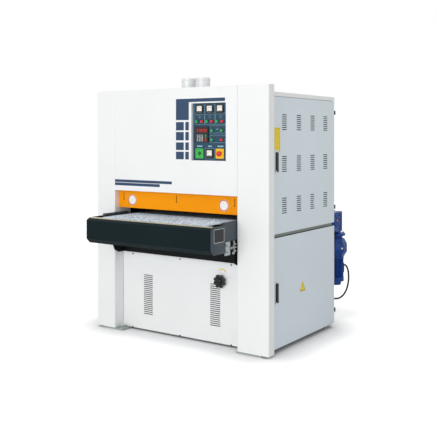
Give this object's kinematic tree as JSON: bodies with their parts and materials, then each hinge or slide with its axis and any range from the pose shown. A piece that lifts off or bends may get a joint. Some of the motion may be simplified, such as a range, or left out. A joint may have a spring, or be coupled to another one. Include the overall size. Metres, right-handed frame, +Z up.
{
  "type": "wide belt sander",
  "caption": "Floor-standing wide belt sander: sanding heads over a lifting conveyor table in a sheet metal body with a recessed control panel.",
  "frame": {"origin": "on the floor, at the centre of the four anchor bolts under the body", "axes": "+X to the right as the operator at the infeed sees it, +Y to the back along the feed direction, +Z up"},
  "size_m": [1.7, 2.1856, 2.107],
  "materials": {
    "white_paint": "semi-gloss powder coat",
    "grey_paint": "satin paint",
    "blue_paint": "gloss enamel",
    "motor_blue": "gloss enamel",
    "yellow_paint": "semi-gloss paint",
    "dark_paint": "satin paint",
    "dark_grey_paint": "satin paint",
    "black_steel": "satin black",
    "head_paint": "satin paint",
    "galvanised": "zinc",
    "machined_steel": "turned",
    "cast_iron": "machined",
    "roller_rubber": "ground rubber",
    "belt_rubber": "rough top grey",
    "drive_belt_rubber": "matt",
    "abrasive": "coated abrasive",
    "graphite": "graphite cloth",
    "panel_film": "printed film",
    "black_plastic": "fine grain",
    "black_gloss": "moulded",
    "green_plastic": "translucent moulded",
    "dark_green_plastic": "moulded",
    "red_plastic": "moulded",
    "cable_rubber": "matt"
  },
  "bodies": {
    "machine": {"base_frame": "grey_paint", "side_frames": "grey_paint", "head_frames": "head_paint", "left_column": "white_paint", "right_column": "white_paint", "upper_front_panel": "white_paint", "lower_front_panel": "white_paint", "fixed_panels": "white_paint", "roof_panel": "white_paint", "dust_duct": "galvanised", "infeed_guard": "yellow_paint", "door_hinges": "black_steel", "control_panel": "panel_film", "panel_meters": "black_plastic", "electrical_panel": "galvanised", "main_motors": "motor_blue", "sanding_belts": "abrasive", "drive_belts": "drive_belt_rubber", "roller_bearings": "cast_iron", "platen": "graphite"},
    "table": {"table_frame": "black_steel", "feed_belt": "belt_rubber", "infeed_cover": "dark_paint", "side_guards": "dark_grey_paint", "tension_blocks": "machined_steel", "lift_screws": "machined_steel", "worm_gearbox": "blue_paint", "speed_variator": "blue_paint", "feed_motor": "blue_paint", "motor_cable": "cable_rubber"},
    "contact_roller_1": {"contact_roller_1": "roller_rubber"},
    "contact_roller_2": {"contact_roller_2": "roller_rubber"},
    "contact_roller_3": {"contact_roller_3": "roller_rubber"},
    "idler_roller_1": {"idler_roller_1": "machined_steel"},
    "idler_roller_2": {"idler_roller_2": "machined_steel"},
    "idler_roller_3": {"idler_roller_3": "machined_steel"},
    "motor_pulley_1": {"motor_pulley_1": "cast_iron"},
    "motor_pulley_2": {"motor_pulley_2": "cast_iron"},
    "motor_pulley_3": {"motor_pulley_3": "cast_iron"},
    "start_button_1": {"start_button_1": "green_plastic"},
    "start_button_2": {"start_button_2": "green_plastic"},
    "start_button_3": {"start_button_3": "green_plastic"},
    "stop_button_1": {"stop_button_1": "red_plastic"},
    "stop_button_2": {"stop_button_2": "red_plastic"},
    "stop_button_3": {"stop_button_3": "red_plastic"},
    "infeed_roller": {"infeed_roller": "machined_steel"},
    "drive_roller": {"drive_roller": "roller_rubber"},
    "handwheel": {"handwheel": "black_gloss"},
    "right_upper_door": {"right_upper_door": "white_paint"},
    "right_lower_door": {"right_lower_door": "white_paint"},
    "left_upper_door": {"left_upper_door": "white_paint"},
    "right_upper_handle": {"right_upper_handle": "black_plastic"},
    "right_lower_handle": {"right_lower_handle": "black_plastic"},
    "left_upper_handle": {"left_upper_handle": "black_plastic"},
    "table_up_button": {"table_up_button": "green_plastic"},
    "table_down_button": {"table_down_button": "green_plastic"},
    "feed_start_button": {"feed_start_button": "green_plastic"},
    "feed_stop_button": {"feed_stop_button": "red_plastic"},
    "power_button": {"power_button": "dark_green_plastic"},
    "emergency_stop": {"emergency_stop": "red_plastic"}
  },
  "joints": [
    {"name": "contact_roller_1_spin", "type": "hinge", "parent": "machine", "child": "contact_roller_1", "pos_m": [-0.0375, -0.315, 1.0924], "axis": [1, 0, 0], "continuous": true},
    {"name": "idler_roller_1_spin", "type": "hinge", "parent": "machine", "child": "idler_roller_1", "pos_m": [-0.0375, -0.315, 1.8], "axis": [1, 0, 0], "continuous": true},
    {"name": "motor_pulley_1_spin", "type": "hinge", "parent": "machine", "child": "motor_pulley_1", "pos_m": [0.6, -0.23, 0.33], "axis": [1, 0, 0], "continuous": true},
    {"name": "contact_roller_2_spin", "type": "hinge", "parent": "machine", "child": "contact_roller_2", "pos_m": [-0.0375, -0.045, 1.0924], "axis": [1, 0, 0], "continuous": true},
    {"name": "idler_roller_2_spin", "type": "hinge", "parent": "machine", "child": "idler_roller_2", "pos_m": [-0.0375, -0.045, 1.8], "axis": [1, 0, 0], "continuous": true},
    {"name": "motor_pulley_2_spin", "type": "hinge", "parent": "machine", "child": "motor_pulley_2", "pos_m": [0.6, 0.04, 0.33], "axis": [1, 0, 0], "continuous": true},
    {"name": "contact_roller_3_spin", "type": "hinge", "parent": "machine", "child": "contact_roller_3", "pos_m": [-0.0375, 0.225, 1.0924], "axis": [1, 0, 0], "continuous": true},
    {"name": "idler_roller_3_spin", "type": "hinge", "parent": "machine", "child": "idler_roller_3", "pos_m": [-0.0375, 0.225, 1.8], "axis": [1, 0, 0], "continuous": true},
    {"name": "motor_pulley_3_spin", "type": "hinge", "parent": "machine", "child": "motor_pulley_3", "pos_m": [0.6, 0.31, 0.33], "axis": [1, 0, 0], "continuous": true},
    {"name": "table_lift", "type": "slide", "parent": "machine", "child": "table", "axis": [0, 0, 1], "range_m": [-0.085, 0.032], "deforming": ["motor_cable"]},
    {"name": "drive_roller_spin", "type": "hinge", "parent": "table", "child": "drive_roller", "pos_m": [-0.0375, 0.985, 0.8556], "axis": [1, 0, 0], "continuous": true},
    {"name": "infeed_roller_spin", "type": "hinge", "parent": "table", "child": "infeed_roller", "pos_m": [-0.0375, -0.79, 0.8756], "axis": [1, 0, 0], "continuous": true},
    {"name": "handwheel_turn", "type": "hinge", "parent": "machine", "child": "handwheel", "pos_m": [0.3605, -0.459, 0.5], "axis": [0, 1, 0], "range_deg": [-6200, 2400]},
    {"name": "right_upper_door_hinge", "type": "hinge", "parent": "machine", "child": "right_upper_door", "pos_m": [0.822, 0.574, 1.4], "axis": [0, 0, 1], "range_deg": [0, 110]},
    {"name": "right_lower_door_hinge", "type": "hinge", "parent": "machine", "child": "right_lower_door", "pos_m": [0.822, 0.574, 0.45], "axis": [0, 0, 1], "range_deg": [0, 110]},
    {"name": "left_upper_door_hinge", "type": "hinge", "parent": "machine", "child": "left_upper_door", "pos_m": [-0.822, 0.574, 1.4], "axis": [0, 0, 1], "range_deg": [-110, 0]},
    {"name": "right_upper_handle_lift", "type": "hinge", "parent": "right_upper_door", "child": "right_upper_handle", "pos_m": [0.835, -0.416, 1.358], "axis": [0, 1, 0], "range_deg": [0, 40]},
    {"name": "right_lower_handle_lift", "type": "hinge", "parent": "right_lower_door", "child": "right_lower_handle", "pos_m": [0.835, -0.416, 0.383], "axis": [0, 1, 0], "range_deg": [0, 40]},
    {"name": "left_upper_handle_lift", "type": "hinge", "parent": "left_upper_door", "child": "left_upper_handle", "pos_m": [-0.835, -0.416, 1.358], "axis": [0, 1, 0], "range_deg": [-40, 0]},
    {"name": "start_button_1_press", "type": "slide", "parent": "machine", "child": "start_button_1", "axis": [0, 1, 0], "range_m": [0, 0.004], "stiffness_N_per_m": 400, "springref_m": -0.001},
    {"name": "start_button_2_press", "type": "slide", "parent": "machine", "child": "start_button_2", "axis": [0, 1, 0], "range_m": [0, 0.004], "stiffness_N_per_m": 400, "springref_m": -0.001},
    {"name": "start_button_3_press", "type": "slide", "parent": "machine", "child": "start_button_3", "axis": [0, 1, 0], "range_m": [0, 0.004], "stiffness_N_per_m": 400, "springref_m": -0.001},
    {"name": "stop_button_1_press", "type": "slide", "parent": "machine", "child": "stop_button_1", "axis": [0, 1, 0], "range_m": [0, 0.004], "stiffness_N_per_m": 400, "springref_m": -0.001},
    {"name": "stop_button_2_press", "type": "slide", "parent": "machine", "child": "stop_button_2", "axis": [0, 1, 0], "range_m": [0, 0.004], "stiffness_N_per_m": 400, "springref_m": -0.001},
    {"name": "stop_button_3_press", "type": "slide", "parent": "machine", "child": "stop_button_3", "axis": [0, 1, 0], "range_m": [0, 0.004], "stiffness_N_per_m": 400, "springref_m": -0.001},
    {"name": "table_up_button_press", "type": "slide", "parent": "machine", "child": "table_up_button", "axis": [0, 1, 0], "range_m": [0, 0.004], "stiffness_N_per_m": 400, "springref_m": -0.001},
    {"name": "table_down_button_press", "type": "slide", "parent": "machine", "child": "table_down_button", "axis": [0, 1, 0], "range_m": [0, 0.004], "stiffness_N_per_m": 400, "springref_m": -0.001},
    {"name": "feed_start_button_press", "type": "slide", "parent": "machine", "child": "feed_start_button", "axis": [0, 1, 0], "range_m": [0, 0.004], "stiffness_N_per_m": 400, "springref_m": -0.001},
    {"name": "feed_stop_button_press", "type": "slide", "parent": "machine", "child": "feed_stop_button", "axis": [0, 1, 0], "range_m": [0, 0.004], "stiffness_N_per_m": 400, "springref_m": -0.001},
    {"name": "power_button_press", "type": "slide", "parent": "machine", "child": "power_button", "axis": [0, 1, 0], "range_m": [0, 0.004], "stiffness_N_per_m": 400, "springref_m": -0.001},
    {"name": "emergency_stop_press", "type": "slide", "parent": "machine", "child": "emergency_stop", "axis": [0, 1, 0], "range_m": [0, 0.005]}
  ],
  "couplings": [
    {"joint": "idler_roller_1_spin", "follows": "contact_roller_1_spin", "ratio": 1.8889},
    {"joint": "motor_pulley_1_spin", "follows": "contact_roller_1_spin", "ratio": 0.8333},
    {"joint": "idler_roller_2_spin", "follows": "contact_roller_2_spin", "ratio": 1.8889},
    {"joint": "motor_pulley_2_spin", "follows": "contact_roller_2_spin", "ratio": 0.8333},
    {"joint": "idler_roller_3_spin", "follows": "contact_roller_3_spin", "ratio": 1.8889},
    {"joint": "motor_pulley_3_spin", "follows": "contact_roller_3_spin", "ratio": 0.8333},
    {"joint": "infeed_roller_spin", "follows": "drive_roller_spin", "ratio": 1.2222},
    {"joint": "handwheel_turn", "follows": "table_lift", "rad_per_m": 1256.6}
  ]
}
